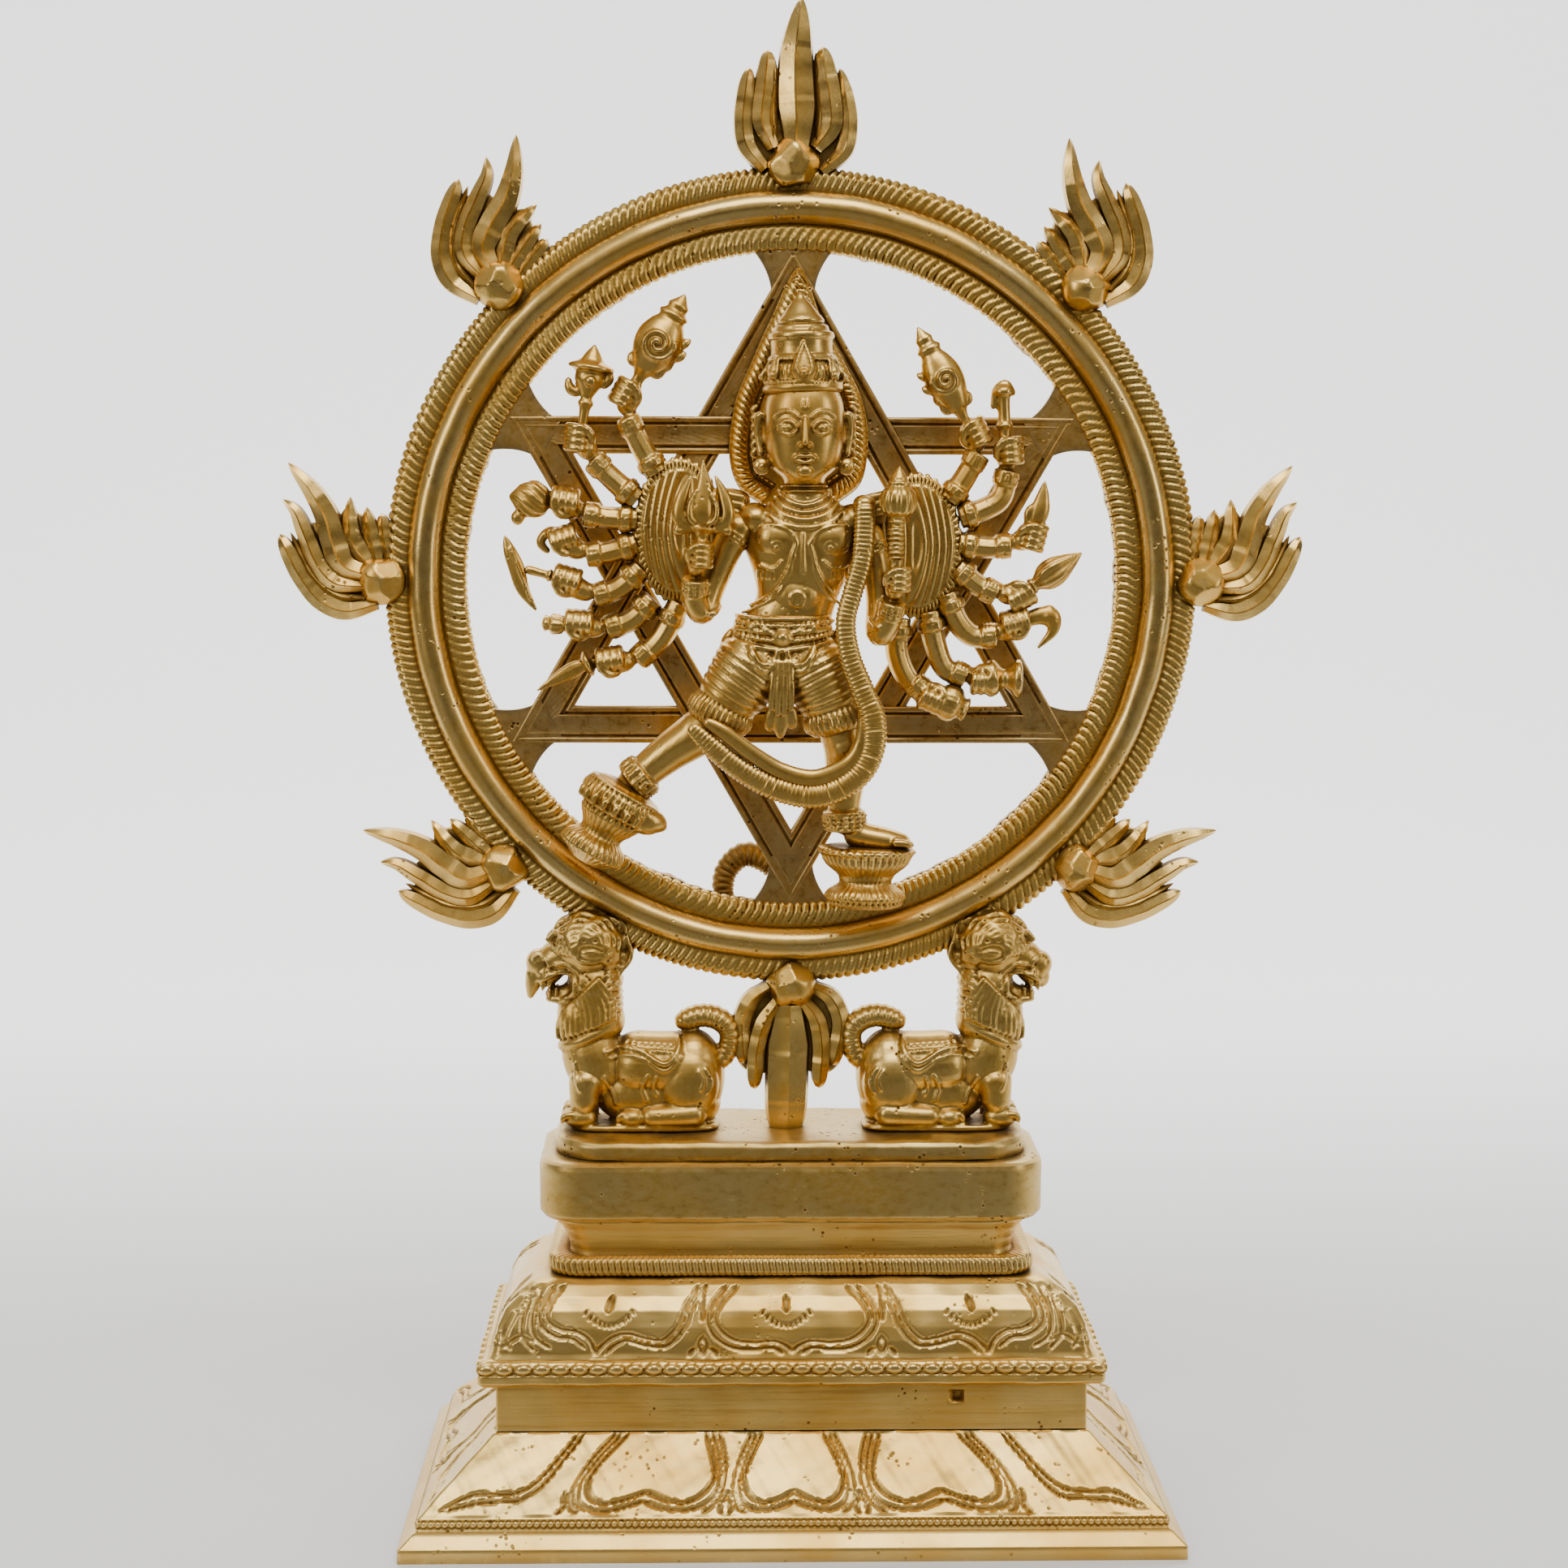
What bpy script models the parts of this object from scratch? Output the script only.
"""Sixteen-armed dancing figure in a flaming wheel, cast in brass, on a tiered lotus pedestal.

Lengths in the functions are millimetres, and MM turns them into metres. +Z is up and the
figure faces -Y. The origin is the centre of the foot's underside. Every separate casting,
pin, rivet and nut is one named object.
"""
import math

import bmesh
import bpy
from mathutils import Matrix, Vector

MM = 0.001
GAP = 0.3

# Driving dimensions, in millimetres
FOOT_HALF = (96.5, 50.3)
DADO_HALF = (73.9, 30.3)
SLAB_HALF = (78.0, 34.3)
LOTUS_HALF = (75.0, 31.3)
ROPE_HALF = (61.3, 22.0)
COLLAR_HALF = (63.7, 22.6)
TOP_HALF = (60.0, 19.5)
DADO_Z = 25.8
UPPER_TIER_Z = 38.5
NECK_Z = 62.9
COLLAR_Z = 77.0
TOP_SLAB_Z = 92.0
DECK_Z = 96.6
WALL = 4.0

WHEEL_Z = 236.8
FLANGE_R = 102.0
TUBE_OUTER_R = 96.5
TUBE_INNER_R = 88.5
BAND_INNER_R = 81.7
FLANGE_FRONT_Y = -1.5
FLANGE_BACK_Y = 1.0
TUBE_FRONT_Y = -5.5
REAR_FLANGE_Y = 7.0

STAR_R = 82.0
STAR_BAR = 9.3
STAR_HALF_THICKNESS = 1.5

BOSS_R = 6.2
BOSS_RING_R = 103.1
BOSS_FRONT_Y = -6.5
FLAME_FRONT_Y = -3.0
FLAME_BACK_Y = 2.0

RIVET_R = 2.0
TENON_R = 3.0
BODY_Y = -13.5
FAN_Y = -9.0
LION_X = 40.0

BRASS = (0.74, 0.56, 0.27, 1.0)
OLD_BRASS = (0.42, 0.29, 0.13, 1.0)


def remove_all():
    for item in list(bpy.data.objects):
        bpy.data.objects.remove(item, do_unlink=True)


def new_collection(name):
    group = bpy.data.collections.new(name)
    bpy.context.scene.collection.children.link(group)
    return group


remove_all()
PARTS = new_collection("brass_wheel_figure")
CUTTERS = new_collection("cutters")


def brass(name, colour, roughness):
    """Own Principled metal for one part."""
    material = bpy.data.materials.new(name + "_brass")
    material.use_nodes = True
    shader = material.node_tree.nodes["Principled BSDF"]
    shader.inputs["Base Color"].default_value = colour
    shader.inputs["Metallic"].default_value = 1.0
    shader.inputs["Roughness"].default_value = roughness
    return material


def part(name, data, colour=BRASS, roughness=0.3):
    """A named part in the parts collection, with its own material."""
    obj = bpy.data.objects.new(name, data)
    PARTS.objects.link(obj)
    data.materials.append(brass(name, colour, roughness))
    return obj


def tool(name, data):
    """A shape that another part is cut or joined by; it isn't a part itself."""
    obj = bpy.data.objects.new(name, data)
    CUTTERS.objects.link(obj)
    obj.hide_render = True
    obj.display_type = "WIRE"
    return obj


def mesh_of(name, bm):
    bmesh.ops.recalc_face_normals(bm, faces=bm.faces)
    mesh = bpy.data.meshes.new(name)
    bm.to_mesh(mesh)
    bm.free()
    return mesh


def loft_mesh(name, rings, cyclic=False):
    """Skin over rings with equal point counts; a cyclic stack closes on itself as a tunnel."""
    bm = bmesh.new()
    grid = [[bm.verts.new([c * MM for c in point]) for point in ring] for ring in rings]
    pairs = list(zip(grid, grid[1:]))
    if cyclic:
        pairs.append((grid[-1], grid[0]))
    count = len(grid[0])
    for low, high in pairs:
        for i in range(count):
            j = (i + 1) % count
            bm.faces.new((low[i], low[j], high[j], high[i]))
    if not cyclic:
        bm.faces.new(grid[0])
        bm.faces.new(grid[-1])
    return mesh_of(name, bm)


def ellipse(x, y, z, rx, ry, count=16):
    """Level ellipse of points."""
    turns = [2.0 * math.pi * i / count for i in range(count)]
    return [(x + rx * math.cos(t), y + ry * math.sin(t), z) for t in turns]


def rounded_rectangle(half_x, half_y, z, radius, steps=4):
    """Level rectangle with quarter-circle corners, steps points each."""
    points = []
    for corner, (sx, sy) in enumerate(((1, 1), (-1, 1), (-1, -1), (1, -1))):
        for i in range(steps):
            turn = math.pi / 2.0 * (corner + i / (steps - 1))
            x = sx * (half_x - radius) + radius * math.cos(turn)
            y = sy * (half_y - radius) + radius * math.sin(turn)
            points.append((x, y, z))
    return points


def tier(name, levels, steps, roughness=0.3):
    """Hollow pedestal ring: its wall's section, (half x, half y, z, corner radius), closed."""
    rings = [rounded_rectangle(*level, steps=steps) for level in levels]
    return part(name, loft_mesh(name, rings, cyclic=True), roughness=roughness)


def tube(name, points, radii, colour=BRASS):
    """Tapering round bar along x, y, z points."""
    data = bpy.data.curves.new(name, "CURVE")
    data.dimensions = "3D"
    data.bevel_depth = MM
    data.bevel_resolution = 2
    data.use_fill_caps = True
    spline = data.splines.new("POLY")
    spline.points.add(len(points) - 1)
    for point, place, radius in zip(spline.points, points, radii):
        point.co = (place[0] * MM, place[1] * MM, place[2] * MM, 1.0)
        point.radius = radius
    return part(name, data, colour)


def flat_curve(name, outlines, thickness):
    """Filled plate from closed outlines in its own XY plane; inner outlines are holes."""
    data = bpy.data.curves.new(name, "CURVE")
    data.dimensions = "2D"
    data.fill_mode = "BOTH"
    data.extrude = thickness * MM / 2.0
    for outline in outlines:
        spline = data.splines.new("POLY")
        spline.points.add(len(outline) - 1)
        spline.use_cyclic_u = True
        for point, (x, y) in zip(spline.points, outline):
            point.co = (x * MM, y * MM, 0.0, 1.0)
    return data


def circle(x, y, radius, count=16):
    turns = [2.0 * math.pi * i / count for i in range(count)]
    return [(x + radius * math.cos(t), y + radius * math.sin(t)) for t in turns]


def stand_up(obj, x, z, front_y, back_y):
    """Turn a flat plate to face -Y between two depths."""
    obj.rotation_euler = (math.pi / 2.0, 0.0, 0.0)
    obj.location = (x * MM, (front_y + back_y) / 2.0 * MM, z * MM)
    return obj


def solid_mesh(obj):
    """Closed mesh of a curve object, at its place in the world; the curve is removed."""
    bpy.context.view_layer.update()
    evaluated = obj.evaluated_get(bpy.context.evaluated_depsgraph_get())
    mesh = bpy.data.meshes.new_from_object(evaluated)
    mesh.transform(obj.matrix_world)
    bm = bmesh.new()
    bm.from_mesh(mesh)
    bmesh.ops.remove_doubles(bm, verts=bm.verts, dist=1e-6)
    bmesh.ops.recalc_face_normals(bm, faces=bm.faces)
    bm.to_mesh(mesh)
    bm.free()
    bpy.data.objects.remove(obj, do_unlink=True)
    return mesh


def cylinder_mesh(name, start, end, radius, sides=16, end_radius=None):
    """Round bar between two points; an end radius makes it a cone."""
    bm = bmesh.new()
    far = radius if end_radius is None else end_radius
    start = Vector(start) * MM
    end = Vector(end) * MM
    span = end - start
    bmesh.ops.create_cone(bm, cap_ends=True, segments=sides, radius1=radius * MM,
                          radius2=far * MM, depth=span.length)
    turn = Vector((0, 0, 1)).rotation_difference(span).to_matrix().to_4x4()
    place = Matrix.Translation((start + end) / 2.0)
    bmesh.ops.transform(bm, matrix=place @ turn, verts=bm.verts)
    return mesh_of(name, bm)


def ball_mesh(name, centre, radii, tilt=0.0, segments=11):
    """Ellipsoid, tilted in the XZ plane by degrees."""
    bm = bmesh.new()
    bmesh.ops.create_uvsphere(bm, u_segments=segments, v_segments=segments - 4, radius=MM)
    stretch = Matrix.Diagonal((*radii, 1.0))
    turn = Matrix.Rotation(math.radians(-tilt), 4, "Y")
    place = Matrix.Translation([c * MM for c in centre])
    bmesh.ops.transform(bm, matrix=place @ turn @ stretch, verts=bm.verts)
    return mesh_of(name, bm)


def combine(obj, meshes, operation):
    """Join meshes to a part, or cut them from it."""
    for index, mesh in enumerate(meshes):
        label = f"{obj.name}_{operation.lower()}_{index}"
        modifier = obj.modifiers.new(label, "BOOLEAN")
        modifier.operation = operation
        modifier.object = tool(label, mesh)


# Pedestal ---------------------------------------------------------------------------------


def lower_tier():
    """Foot, bevel and sloping lower lotus, one hollow casting."""
    x, y = FOOT_HALF
    dx, dy = DADO_HALF
    tier("lower_lotus_tier", (
        (x, y, 0.0, 0.6), (x, y, 3.5, 0.6), (x - 3.7, y - 2.9, 6.7, 0.6),
        (x - 4.6, y - 4.1, 7.2, 0.6), (x - 4.6, y - 4.1, 9.8, 0.6),
        (dx + 0.6, dy + 0.4, DADO_Z, 0.6), (dx - WALL, dy - WALL, DADO_Z, 0.6),
        (x - 10.0, y - 10.0, 6.0, 0.6), (x - 6.0, y - 6.0, 0.0, 0.6)), steps=2)


def dado():
    """Plain upright band between the two lotus tiers."""
    x, y = DADO_HALF
    low = DADO_Z + GAP
    high = UPPER_TIER_Z - GAP
    tier("dado_band", (
        (x, y, low, 0.6), (x, y, high, 0.6),
        (x - WALL, y - WALL, high, 0.6), (x - WALL, y - WALL, low, 0.6)), steps=2)


def upper_tier():
    """Slab with its beaded edge, and the swelling upper lotus above it."""
    x, y = SLAB_HALF
    lx, ly = LOTUS_HALF
    top = NECK_Z - GAP
    low = UPPER_TIER_Z
    tier("upper_lotus_tier", (
        (x - 1.2, y - 1.2, low, 2.0), (x, y, low + 2.2, 2.0), (x - 0.8, y - 0.8, low + 6.2, 2.0),
        (lx, ly, low + 8.0, 3.0), (lx - 0.8, ly - 0.6, low + 12.5, 4.0),
        (lx - 4.0, ly - 3.3, low + 18.5, 6.0), (lx - 9.0, ly - 7.0, low + 22.5, 7.0),
        (lx - 12.5, ly - 9.5, top, 7.0), (lx - 17.0, ly - 14.0, top, 5.0),
        (lx - 6.0, ly - 6.0, low + 8.0, 2.0), (x - 8.0, y - 8.0, low, 2.0)), steps=3)


def neck():
    """Rope moulding and the flaring neck under the collar."""
    x, y = ROPE_HALF
    low = NECK_Z
    top = COLLAR_Z - GAP
    tier("rope_neck", (
        (x - 1.3, y - 1.3, low, 8.0), (x, y, low + 1.3, 8.0), (x, y, low + 3.7, 8.0),
        (x - 1.3, y - 1.3, low + 4.9, 8.0), (x - 5.0, y - 3.0, low + 5.5, 8.0),
        (x - 1.0, y - 1.0, top, 9.0),
        (x - 8.5, y - 7.0, top, 6.0), (x - 8.5, y - 7.0, NECK_Z, 6.0)), steps=4)


def collar():
    """Plain drum with rounded ends under the top slab."""
    x, y = COLLAR_HALF
    top = TOP_SLAB_Z - GAP
    tier("oval_collar", (
        (x - 1.2, y - 1.2, COLLAR_Z, 10.0), (x, y, COLLAR_Z + 2.2, 11.0), (x, y, top - 1.2, 11.0),
        (x - 1.0, y - 1.0, top, 10.0), (x - 7.0, y - 6.0, top, 7.0),
        (x - 7.0, y - 6.0, COLLAR_Z, 7.0)), steps=5)


def top_slab():
    """Deck plate, bored for the stem's tenon and the two lion pins."""
    x, y = TOP_HALF
    outline = [(p[0], p[1]) for p in rounded_rectangle(x, y, 0.0, 14.0, steps=6)]
    holes = [circle(0.0, 0.0, TENON_R + GAP)]
    holes += [circle(side * LION_X, 0.0, RIVET_R + GAP, 12) for side in (-1, 1)]
    slab = part("deck_slab", flat_curve("deck_slab", [outline] + holes, DECK_Z - TOP_SLAB_Z))
    slab.location.z = (DECK_Z + TOP_SLAB_Z) / 2.0 * MM


def deck_fasteners():
    """Headed pins that hold the lions, and the stem's nut, all under the deck slab."""
    under = TOP_SLAB_Z - GAP
    for name, side in (("lion_pin_left", -1), ("lion_pin_right", 1)):
        x = side * LION_X
        head = cylinder_mesh(name, (x, 0, under - 2.5), (x, 0, under), 4.0, sides=12)
        shank = cylinder_mesh(name + "_shank", (x, 0, under - 1.0), (x, 0, DECK_Z + 5.5), RIVET_R, 12)
        combine(part(name, head), [shank], "UNION")
    outline = [circle(0.0, 0.0, 6.5, 6), circle(0.0, 0.0, TENON_R + GAP)]
    nut = part("stem_nut", flat_curve("stem_nut", outline, 4.0))
    nut.location.z = (under - 2.0) * MM


# Wheel ------------------------------------------------------------------------------------


def wheel_rim():
    """Ring with a half-round tube in front, a toothed flange each side, and a rear flange."""
    middle = (TUBE_OUTER_R + TUBE_INNER_R) / 2.0
    bulge = (TUBE_OUTER_R - TUBE_INNER_R) / 2.0
    arc = []
    for i in range(7):
        turn = math.pi * i / 6.0
        depth = FLANGE_FRONT_Y + (TUBE_FRONT_Y - FLANGE_FRONT_Y) * math.sin(turn)
        arc.append((middle - bulge * math.cos(turn), depth))
    section = arc + [
        (FLANGE_R, FLANGE_FRONT_Y), (FLANGE_R, FLANGE_BACK_Y), (TUBE_OUTER_R, FLANGE_BACK_Y),
        (TUBE_OUTER_R, REAR_FLANGE_Y - 2.0), (FLANGE_R - 1.5, REAR_FLANGE_Y - 2.0),
        (FLANGE_R - 1.5, REAR_FLANGE_Y), (BAND_INNER_R - 0.5, REAR_FLANGE_Y),
        (BAND_INNER_R - 0.5, REAR_FLANGE_Y - 2.0), (TUBE_INNER_R, REAR_FLANGE_Y - 2.0),
        (TUBE_INNER_R, FLANGE_BACK_Y), (BAND_INNER_R, FLANGE_BACK_Y),
        (BAND_INNER_R, FLANGE_FRONT_Y)]
    bm = bmesh.new()
    loop = [bm.verts.new((r * MM, 0.0, -y * MM)) for r, y in section]
    for i in range(len(loop)):
        bm.edges.new((loop[i], loop[(i + 1) % len(loop)]))
    mesh = bpy.data.meshes.new("wheel_rim")
    bm.to_mesh(mesh)
    bm.free()
    rim = part("wheel_rim", mesh)
    screw = rim.modifiers.new("turned", "SCREW")
    screw.steps = 72
    screw.render_steps = 72
    screw.use_merge_vertices = True
    screw.merge_threshold = 0.00001
    rim.rotation_euler = (math.pi / 2.0, 0.0, 0.0)
    rim.location.z = WHEEL_Z * MM


def polar(radius, degrees):
    turn = math.radians(degrees)
    return (radius * math.cos(turn), radius * math.sin(turn))


def local_to_star(along, across, degrees):
    """Point given along and across a star point's own direction."""
    turn = math.radians(degrees)
    return (along * math.cos(turn) - across * math.sin(turn),
            along * math.sin(turn) + across * math.cos(turn))


def star_frame():
    """Two interlaced flat triangles in one plane, flared where they meet the wheel."""
    reach = BAND_INNER_R - GAP
    notch = STAR_R / math.sqrt(3.0)
    side = STAR_R / 2.0
    tip = STAR_R - 2.0 * STAR_BAR
    base = (tip - side) * math.tan(math.radians(30.0))
    outline = []
    windows = []
    for vertex in range(30, 390, 60):
        outline.append(polar(notch, vertex - 30))
        outline.append(local_to_star(reach - 10.0, -6.4, vertex))
        outline += [polar(reach, vertex + offset) for offset in (-7.0, -3.5, 0.0, 3.5, 7.0)]
        outline.append(local_to_star(reach - 10.0, 6.4, vertex))
        windows.append([local_to_star(tip, 0.0, vertex), local_to_star(side, base, vertex),
                        local_to_star(side, -base, vertex)])
    hexagon = [polar((side - STAR_BAR) / math.cos(math.radians(30.0)), a) for a in range(0, 360, 60)]
    bar_middle = side - STAR_BAR / 2.0
    holes = [circle(0.0, s * bar_middle, RIVET_R + GAP, 12) for s in (-1, 1)]
    outlines = [outline, hexagon] + windows + holes
    star = part("star_frame", flat_curve("star_frame", outlines, 2.0 * STAR_HALF_THICKNESS))
    stand_up(star, 0.0, WHEEL_Z, -STAR_HALF_THICKNESS, STAR_HALF_THICKNESS)


SIDE_FLAME = ((9.0, -1.0), (8.8, 4.5), (11.2, 12.0), (7.8, 9.5), (9.0, 19.0), (5.6, 15.5),
              (4.4, 34.8), (0.4, 21.5), (-2.7, 29.8), (-5.4, 18.5), (-9.4, 24.3), (-10.4, 16.5),
              (-13.6, 19.5), (-15.0, 11.0), (-13.2, 3.0), (-9.6, -2.5), (-5.0, -5.5), (4.0, -9.0))
TOP_FLAME = ((-9.5, -1.0), (-12.2, 6.0), (-13.0, 14.0), (-12.3, 22.0), (-9.6, 16.5), (-7.0, 26.0),
             (-4.7, 20.0), (0.0, 40.2), (4.7, 20.0), (7.0, 26.0), (9.6, 16.5), (12.3, 22.0),
             (13.0, 14.0), (12.2, 6.0), (9.5, -1.0), (4.0, -6.0), (-4.0, -6.0))
FOOT_FLAME = ((-7.0, 1.0), (-7.5, -4.0), (-12.5, -8.5), (-13.8, -14.0), (-12.4, -21.6),
              (-9.4, -17.5), (-9.2, -28.0), (-6.2, -21.5), (-5.0, -30.0), (-3.6, -36.6))


def ring_cutter(name):
    """Disc a gap larger than the wheel, for what stands against its edge."""
    centre = (0.0, -20.0, WHEEL_Z)
    return cylinder_mesh(name, centre, (0.0, 20.0, WHEEL_Z), FLANGE_R + GAP, sides=96)


def boss_mesh(name, x, z):
    """Round boss that laps over the front of the wheel's flange."""
    back = FLANGE_FRONT_Y - GAP
    return cylinder_mesh(name, (x, BOSS_FRONT_Y, z), (x, back, z), BOSS_R, 14)


def flame(name, outline, angle, turn):
    """Flame plate standing on the wheel's edge, with its boss lapped over the flange."""
    x, z = polar(BOSS_RING_R, angle)
    z += WHEEL_Z
    spin = math.radians(turn)
    placed = [(px * math.cos(spin) - pz * math.sin(spin), px * math.sin(spin) + pz * math.cos(spin))
              for px, pz in outline]
    data = flat_curve(name + "_plate", [placed], FLAME_BACK_Y - FLAME_FRONT_Y)
    plate = stand_up(tool(name + "_plate", data), x, z, FLAME_FRONT_Y, FLAME_BACK_Y)
    flame_part = part(name, solid_mesh(plate))
    combine(flame_part, [ring_cutter(name)], "DIFFERENCE")
    combine(flame_part, [boss_mesh(name, x, z)], "UNION")
    return flame_part


def mirrored(outline):
    return [(-x, z) for x, z in reversed(outline)]


def flames():
    """Seven flames round the wheel; the side ones lean upwards, each pair mirrored."""
    flame("flame_top", TOP_FLAME, 90.0, 0.0)
    for name, angle, turn in (("upper", 135.0, 0.0), ("middle", 180.0, 45.0), ("lower", 225.0, 82.0)):
        flame(f"flame_{name}_left", SIDE_FLAME, angle, turn)
        flame(f"flame_{name}_right", mirrored(SIDE_FLAME), 180.0 - angle, -turn)


def stem():
    """Hanging petals under the wheel, ending in the post and tenon that carry it."""
    outline = list(FOOT_FLAME) + mirrored(FOOT_FLAME)
    post = flame("petal_stem", outline, 270.0, 0.0)
    tenon = cylinder_mesh("tenon", (0, 0, TOP_SLAB_Z - 7.0), (0, 0, DECK_Z + 4.0), TENON_R)
    foot = cylinder_mesh("stem_foot", (0, 0, DECK_Z + GAP), (0, 0, DECK_Z + 7.0), 4.4, 12, 3.6)
    combine(post, [foot, tenon], "UNION")


def rear_stay():
    """Curled ribbed rod behind the lowest star point, against the wheel's back."""
    points = ((-1.0, 9.9, 148.0), (-3.0, 9.9, 157.0), (-6.5, 9.9, 162.6), (-11.5, 9.9, 165.0),
              (-15.5, 9.9, 163.0), (-17.2, 9.9, 158.5), (-16.8, 9.9, 151.0))
    tube("rear_stay", points, (2.4, 2.4, 2.4, 2.4, 2.4, 2.4, 2.0), OLD_BRASS)


# Figure -----------------------------------------------------------------------------------


def body_loft(name, levels, count=16, roughness=0.3):
    """Body mass from level ellipses: x, y, z, half width, half depth."""
    rings = [ellipse(*level, count=count) for level in levels]
    return part(name, loft_mesh(name, rings), roughness=roughness)


def torso():
    body_loft("torso", (
        (-1.6, BODY_Y, 227.0, 11.2, 6.4), (0.6, BODY_Y, 233.0, 10.0, 6.0),
        (1.8, BODY_Y, 240.0, 11.6, 6.8), (2.0, BODY_Y, 248.0, 13.0, 7.0),
        (2.4, BODY_Y, 253.5, 12.8, 6.2), (2.6, BODY_Y, 257.0, 8.0, 5.0),
        (2.6, BODY_Y, 259.5, 5.2, 4.6), (2.6, BODY_Y, 262.0, 4.6, 4.4)))


def head():
    body_loft("head", (
        (2.5, BODY_Y - 1.0, 262.3, 5.0, 5.2), (2.5, BODY_Y - 1.5, 265.0, 7.2, 7.4),
        (2.5, BODY_Y - 1.0, 269.0, 8.8, 8.4), (2.5, BODY_Y - 1.0, 275.0, 9.4, 8.8),
        (2.5, BODY_Y - 1.0, 279.5, 9.2, 8.8), (2.5, BODY_Y - 1.0, 283.0, 8.4, 8.0)))


def crown():
    body_loft("crown", (
        (2.2, BODY_Y, 283.3, 9.2, 8.6), (2.2, BODY_Y, 286.0, 9.6, 9.0),
        (2.0, BODY_Y, 290.0, 7.6, 7.2), (1.8, BODY_Y, 295.0, 7.4, 7.0),
        (1.8, BODY_Y, 298.0, 6.2, 6.0), (1.6, BODY_Y, 301.0, 4.6, 4.4),
        (1.5, BODY_Y, 303.5, 2.4, 2.4), (1.4, BODY_Y, 307.6, 0.8, 0.8)), count=14)


def halo():
    """Pointed arch behind the head, riveted through the star's top bar."""
    arch = [(-16.8, 262.0), (-16.8, 270.0), (-15.6, 281.5), (-11.8, 290.7), (-7.2, 301.2), (-0.2, 314.3)]
    outline = [(x + 1.6, z - WHEEL_Z) for x, z in arch]
    outline += [(3.2 - x, z) for x, z in reversed(outline[:-1])]
    hole = circle(0.0, STAR_R / 2.0 - STAR_BAR / 2.0, RIVET_R + GAP, 12)
    plate = part("halo_arch", flat_curve("halo_arch", [outline, hole], 2.6))
    stand_up(plate, 0.0, WHEEL_Z, -4.4, -1.8)


def rivets():
    """Rivets from behind the star into the figure's back."""
    bar = STAR_R / 2.0 - STAR_BAR / 2.0
    for name, z, depth in (("figure_rivet_upper", WHEEL_Z + bar, -5.2),
                           ("figure_rivet_lower", WHEEL_Z - bar, -4.8)):
        rear = STAR_HALF_THICKNESS + GAP
        headed = cylinder_mesh(name, (0, rear, z), (0, rear + 1.6, z), 3.6, 12, 2.6)
        shank = cylinder_mesh(name + "_shank", (0, depth, z), (0, rear + 0.8, z), RIVET_R, 12)
        combine(part(name, headed, OLD_BRASS), [shank], "UNION")


def dhoti():
    """Belt, hips and pleated cloth over both thighs."""
    body_loft("dhoti", (
        (-2.6, BODY_Y, 226.6, 12.8, 8.0), (-3.4, BODY_Y, 219.0, 14.6, 8.6),
        (-4.2, BODY_Y, 211.0, 18.8, 8.7), (-4.6, BODY_Y, 205.0, 20.8, 8.4),
        (-4.6, BODY_Y, 201.0, 19.4, 7.0)))


def legs():
    tube("leg_left", ((-22.0, -13.0, 196.4), (-28.0, -13.0, 195.6), (-34.7, -12.5, 192.5),
                      (-40.0, -12.0, 188.2)), (3.6, 4.6, 3.8, 3.2))
    tube("leg_right", ((11.8, -12.5, 199.4), (13.6, -12.5, 193.9), (12.9, -12.0, 183.0),
                       (13.2, -12.0, 176.5), (18.0, -13.0, 173.2), (27.5, -14.0, 172.9)),
         (5.0, 5.2, 3.8, 3.2, 2.6, 2.0))


def lotus_feet():
    """Ribbed lotus bells that the two feet tread on."""
    tube("lotus_left", ((-41.2, -13.4, 186.0), (-43.2, -13.4, 182.5), (-45.8, -13.4, 178.0),
                        (-48.0, -13.4, 174.2), (-50.5, -13.4, 169.9), (-51.5, -13.4, 168.2)),
         (5.5, 9.4, 7.6, 5.4, 6.6, 4.8))
    body_loft("lotus_right", (
        (18.4, -12.6, 156.0, 8.4, 7.6), (18.4, -12.6, 159.2, 9.0, 8.2),
        (18.4, -12.6, 161.6, 6.6, 6.0), (18.6, -12.6, 166.0, 10.2, 8.6),
        (18.8, -12.6, 169.2, 11.2, 8.8), (18.8, -12.6, 170.1, 10.6, 8.2)))


def garland():
    """Long ribbed garland from the shoulder, looping below the knees up to the left thigh."""
    points = ((17.0, -20.8, 256.5), (17.2, -21.2, 246.0), (15.6, -22.6, 237.8), (13.0, -23.0, 231.5),
              (12.6, -24.0, 225.5), (14.6, -24.2, 217.5), (17.4, -24.2, 210.5), (19.8, -24.0, 203.8),
              (19.6, -23.6, 196.8), (16.7, -23.0, 190.9), (11.0, -23.0, 186.9), (4.2, -23.0, 185.3),
              (-5.0, -23.0, 188.0), (-13.9, -23.0, 192.6), (-21.5, -24.0, 198.8), (-26.5, -24.0, 203.0))
    radii = (1.6, 2.2, 2.2, 2.2, 2.2, 2.4, 2.8, 3.2, 3.6, 3.8, 3.8, 3.8, 3.8, 3.6, 3.2, 2.2)
    tube("garland", points, radii)


def fan_plate(name, x, z, side, tongue):
    """Shield that the fan of rear arms springs from, with a tongue to the shoulder."""
    half_x, half_z = 10.0, 17.0
    turns = [math.radians(degrees) for degrees in range(-170, 126, 15)]
    outline = [(side * half_x * math.cos(t), half_z * math.sin(t)) for t in turns]
    outline += [(-side * tongue, 9.5), (-side * tongue, 3.5), (-side * 9.9, 1.0)]
    plate = part(name, flat_curve(name, [outline], 3.0))
    stand_up(plate, x, z, FAN_Y - 1.5, FAN_Y + 1.5)


def rear_arm(name, route, radii):
    """Arm in the fan's own plane."""
    tube(name, [(x, FAN_Y, z) for x, z in route], radii)


ARM_RADII = (2.4, 2.3, 2.0, 2.9)


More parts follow.
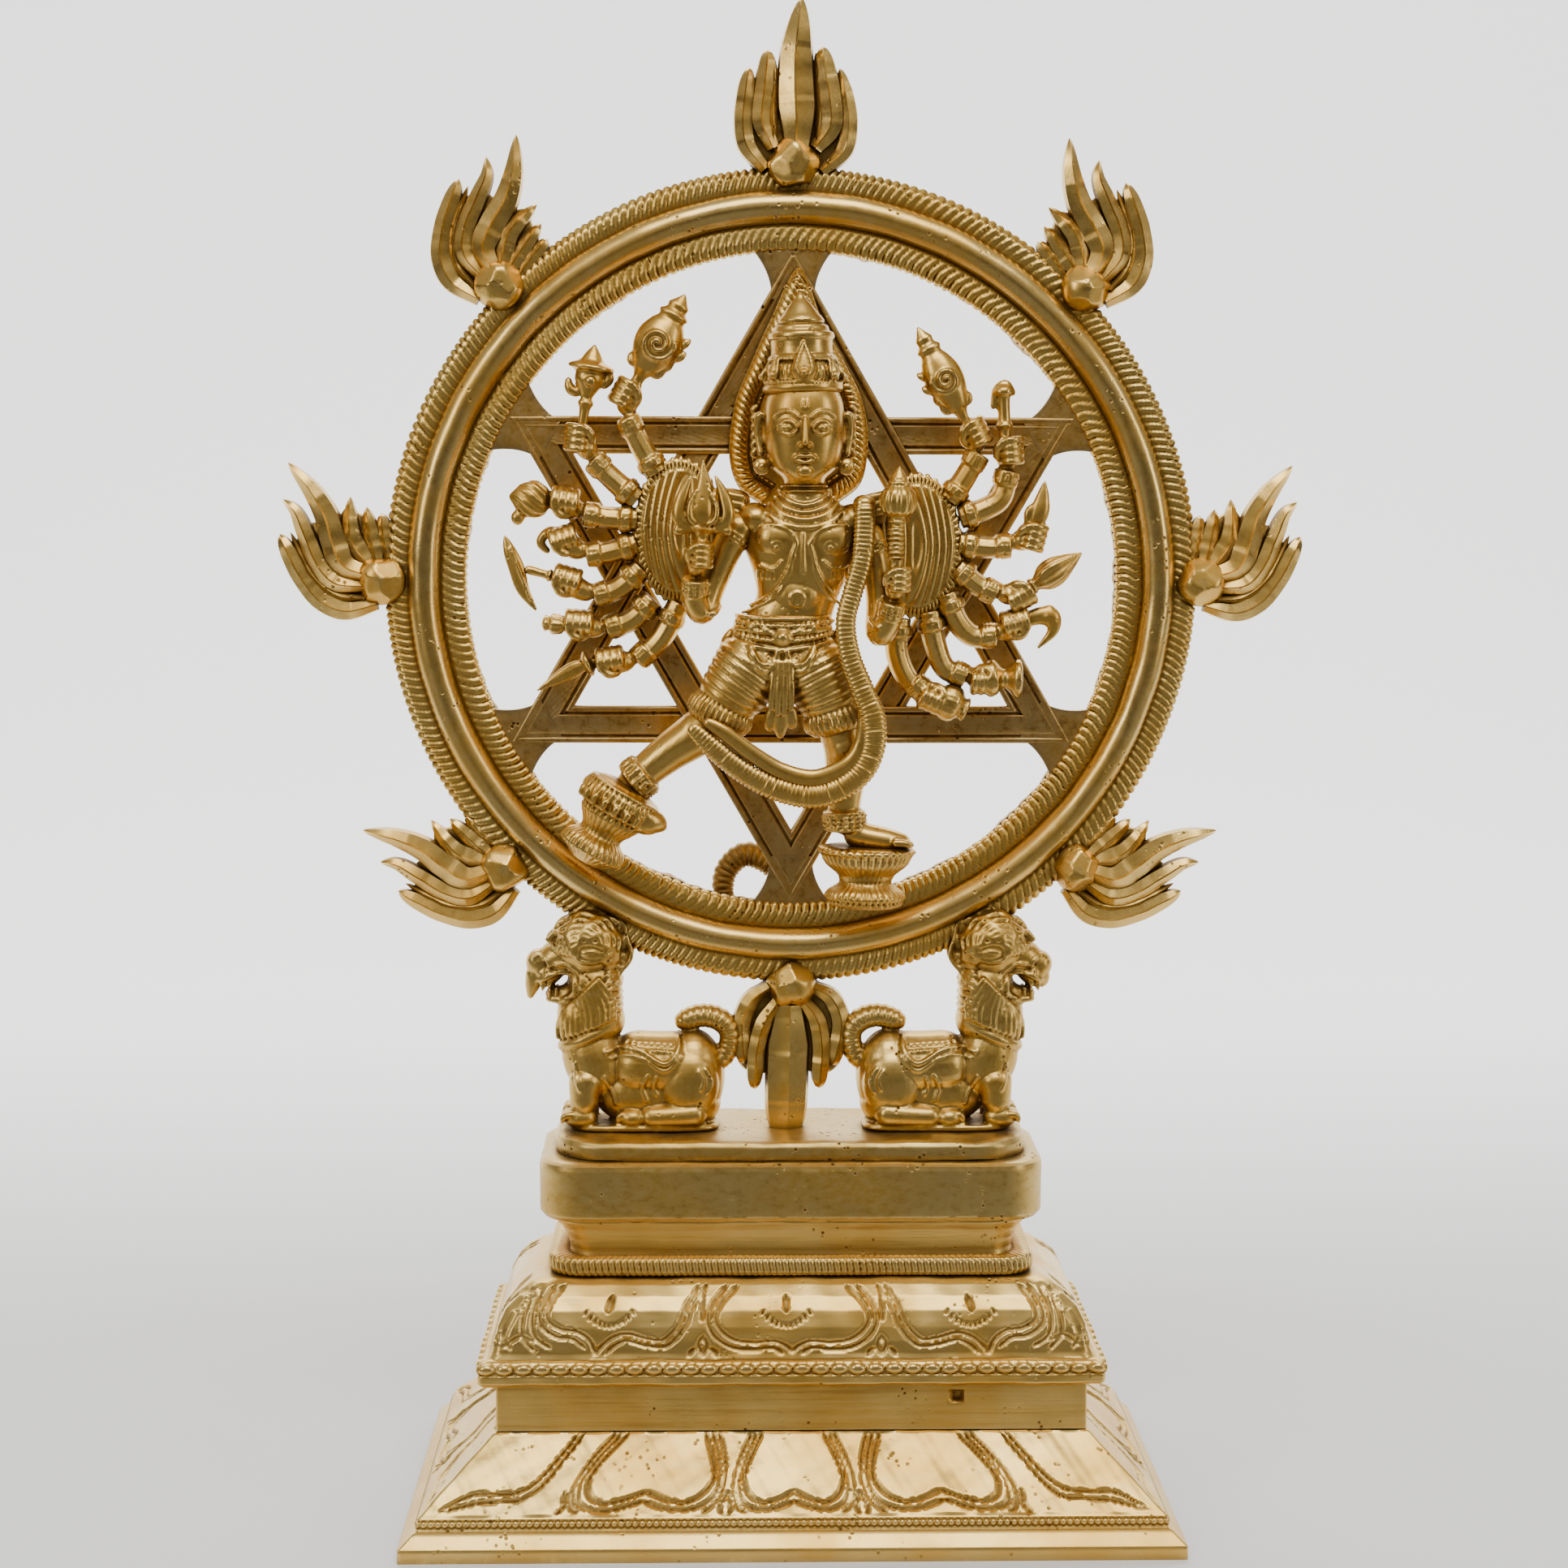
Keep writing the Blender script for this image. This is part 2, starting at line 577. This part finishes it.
def left_arms():
    """Seven rear arms on the figure's right side, and the front arm."""
    rear_arm("arm_left_1", ((-35.0, 267.6), (-38.8, 272.0), (-41.4, 277.5), (-40.2, 284.5)), ARM_RADII)
    rear_arm("arm_left_2", ((-41.4, 259.2), (-46.0, 263.5), (-49.5, 267.5), (-52.0, 273.0)), ARM_RADII)
    rear_arm("arm_left_3", ((-42.0, 252.5), (-47.0, 252.7), (-51.6, 253.4), (-56.2, 256.2),
                            (-60.0, 256.8), (-61.5, 257.0), (-68.4, 257.6), (-70.0, 257.8)),
             (2.4, 2.3, 2.0, 2.9, 1.6, 2.6, 3.8, 1.6))
    rear_arm("arm_left_4", ((-42.0, 245.3), (-46.0, 243.8), (-51.0, 243.2), (-57.0, 246.9),
                            (-60.8, 246.7)), (2.4, 2.3, 2.0, 2.9, 1.4))
    rear_arm("arm_left_5", ((-40.8, 237.6), (-44.0, 234.3), (-48.5, 233.0), (-57.0, 237.3),
                            (-60.5, 238.2), (-65.4, 239.4)), (2.4, 2.3, 2.0, 2.9, 1.1, 1.0))
    rear_arm("arm_left_6", ((-37.2, 229.8), (-41.0, 226.8), (-46.0, 225.0), (-54.0, 225.8),
                            (-58.0, 226.0), (-61.8, 226.4)), (2.4, 2.3, 2.0, 2.9, 2.2, 2.2))
    rear_arm("arm_left_7", ((-30.0, 228.6), (-33.5, 221.5), (-38.5, 217.0), (-46.0, 216.6)), ARM_RADII)
    tube("arm_left_front", ((-14.4, -14.4, 251.5), (-18.2, -14.8, 241.0), (-21.5, -17.0, 232.2),
                            (-24.0, -20.5, 237.5), (-23.2, -22.0, 244.5)), (3.0, 3.0, 2.6, 2.3, 3.0))


def right_arms():
    """Seven rear arms on the figure's left side, and the front arm."""
    rear_arm("arm_right_1", ((40.2, 261.2), (43.5, 265.0), (45.5, 268.5), (44.3, 274.3)), ARM_RADII)
    rear_arm("arm_right_2", ((43.6, 254.2), (48.0, 255.2), (52.0, 257.8), (53.0, 266.0), (53.0, 269.7),
                             (52.2, 274.0), (51.8, 285.0)), (2.4, 2.3, 2.0, 2.9, 2.6, 1.6, 1.5))
    rear_arm("arm_right_3", ((44.2, 246.2), (49.5, 245.6), (54.3, 246.0), (59.5, 248.4),
                             (61.0, 253.0), (62.2, 261.8)), (2.4, 2.3, 2.0, 2.9, 1.8, 0.8))
    rear_arm("arm_right_4", ((43.6, 238.3), (47.0, 235.6), (50.5, 234.0), (57.0, 234.2)), ARM_RADII)
    rear_arm("arm_right_5", ((40.4, 231.4), (42.4, 226.5), (45.0, 223.2), (50.5, 223.9),
                             (57.5, 226.8), (63.5, 228.6), (64.6, 225.4), (61.2, 220.6)),
             (2.3, 2.3, 2.0, 2.9, 2.0, 1.6, 1.4, 0.5))
    rear_arm("arm_right_6", ((34.8, 226.2), (35.8, 220.0), (37.6, 214.8), (43.5, 213.4),
                             (48.5, 213.1), (49.2, 213.0), (56.0, 212.8), (56.6, 212.8)),
             (2.4, 2.3, 2.0, 2.9, 1.8, 4.8, 4.8, 4.2))
    rear_arm("arm_right_7", ((27.0, 224.6), (26.2, 219.0), (27.5, 213.2), (33.5, 209.6),
                             (36.4, 208.1), (37.6, 207.5), (42.5, 205.4)),
             (2.4, 2.3, 2.0, 2.8, 1.4, 4.4, 3.8))
    tube("arm_right_front", ((19.8, -14.4, 249.5), (21.2, -14.6, 238.0), (21.4, -17.0, 227.0),
                             (24.2, -20.5, 232.5), (24.8, -22.0, 238.2)), (2.8, 2.9, 2.6, 2.3, 3.0))


def attributes():
    """Things held that are separate castings, set on the hands."""
    held = FAN_Y
    front = -22.0
    tube("conch_left", ((-40.0, held, 285.3), (-38.0, held, 288.2), (-34.5, held, 292.8),
                        (-31.0, held, 297.5), (-28.3, held, 303.3), (-26.7, held, 307.4)),
         (1.6, 1.8, 5.4, 5.8, 2.6, 0.6))
    tube("bell_left", ((-52.3, held, 274.2), (-50.6, held, 279.0), (-49.6, held, 283.5),
                       (-49.2, held, 286.5), (-49.1, held, 289.5), (-48.9, held, 294.9)),
         (1.2, 1.2, 1.8, 4.8, 3.8, 0.5))
    tube("crescent_left", ((-64.4, held, 230.6), (-66.8, held, 235.5), (-68.2, held, 240.2),
                           (-69.8, held, 244.6), (-71.4, held, 248.0)), (0.6, 1.5, 1.8, 1.4, 0.6))
    tube("dagger_left", ((-46.5, held, 216.6), (-51.0, held, 216.3), (-52.0, held, 216.0),
                         (-53.0, held, 215.5), (-64.0, held, 209.5)), (1.1, 1.5, 2.4, 1.4, 0.4))
    tube("trident_left", ((-23.1, front, 245.0), (-22.4, front, 248.5), (-22.1, front, 252.0),
                          (-22.0, front, 256.5), (-22.0, front, 261.0), (-22.2, front, 266.5)),
         (1.4, 1.2, 3.6, 4.4, 3.4, 0.5))
    tube("conch_right", ((44.0, held, 274.9), (40.5, held, 279.0), (36.8, held, 284.5),
                         (34.3, held, 289.0), (31.8, held, 295.5), (30.5, held, 299.7)),
         (1.3, 1.3, 4.0, 4.4, 2.4, 0.5))
    tube("lotus_bud_right", ((58.2, held, 234.9), (59.8, held, 237.6), (65.5, held, 241.5),
                             (71.6, held, 243.9)), (1.0, 2.6, 2.8, 0.5))
    tube("mace_right", ((24.8, front, 238.7), (24.6, front, 246.0), (24.7, front, 252.0),
                        (24.9, front, 254.5), (25.1, front, 258.5), (25.4, front, 261.0),
                        (25.6, front, 265.3)), (1.6, 1.7, 2.2, 4.0, 3.6, 1.6, 0.5))


# Lions ------------------------------------------------------------------------------------


LION_MASSES = (
    ((-36.0, -1.0, 111.5), (17.0, 8.0, 11.0), 4.0),
    ((-24.5, -1.0, 108.5), (9.8, 8.6, 12.0), 0.0),
    ((-48.5, -1.0, 123.0), (9.0, 7.6, 16.0), -24.0),
    ((-54.0, -1.0, 142.0), (9.6, 7.8, 9.4), 0.0),
    ((-61.5, -1.0, 138.5), (6.0, 5.0, 5.6), 0.0),
    ((-36.0, -1.0, 100.4), (19.0, 8.6, 3.2), 0.0),
    ((-53.0, -1.0, 100.2), (6.6, 8.4, 3.0), 0.0),
    ((-52.0, -1.0, 109.0), (4.6, 7.2, 10.0), 0.0),
    ((-20.5, -1.0, 122.5), (6.4, 3.2, 3.6), 10.0))


def lion(name, side):
    """Seated lion, pinned through the deck; its head meets the wheel's edge."""
    masses = []
    for (x, y, z), radii, tilt in LION_MASSES:
        masses.append(ball_mesh(name, (-side * x, y, z), radii, -side * tilt))
    figure = part(name, masses[0])
    combine(figure, masses[1:], "UNION")
    sole = bpy.data.meshes.new(name)
    bm = bmesh.new()
    bmesh.ops.create_cube(bm, size=1.0)
    size = Matrix.Diagonal((120.0 * MM, 60.0 * MM, 20.0 * MM, 1.0))
    place = Matrix.Translation((side * LION_X * MM, 0.0, (DECK_Z + GAP - 10.0) * MM))
    bmesh.ops.transform(bm, matrix=place @ size, verts=bm.verts)
    bm.to_mesh(sole)
    bm.free()
    x = side * LION_X
    socket = cylinder_mesh(name, (x, 0, 90.0), (x, 0, DECK_Z + 6.5), RIVET_R + GAP, 12)
    combine(figure, [ring_cutter(name), sole, socket], "DIFFERENCE")


lower_tier()
dado()
upper_tier()
neck()
collar()
top_slab()
deck_fasteners()
lion("lion_left", -1)
lion("lion_right", 1)
stem()
wheel_rim()
star_frame()
flames()
rear_stay()
torso()
head()
crown()
halo()
rivets()
dhoti()
legs()
lotus_feet()
garland()
fan_plate("fan_plate_left", -28.3, 249.5, -1, 17.5)
fan_plate("fan_plate_right", 30.8, 245.9, 1, 15.0)
left_arms()
right_arms()
attributes()
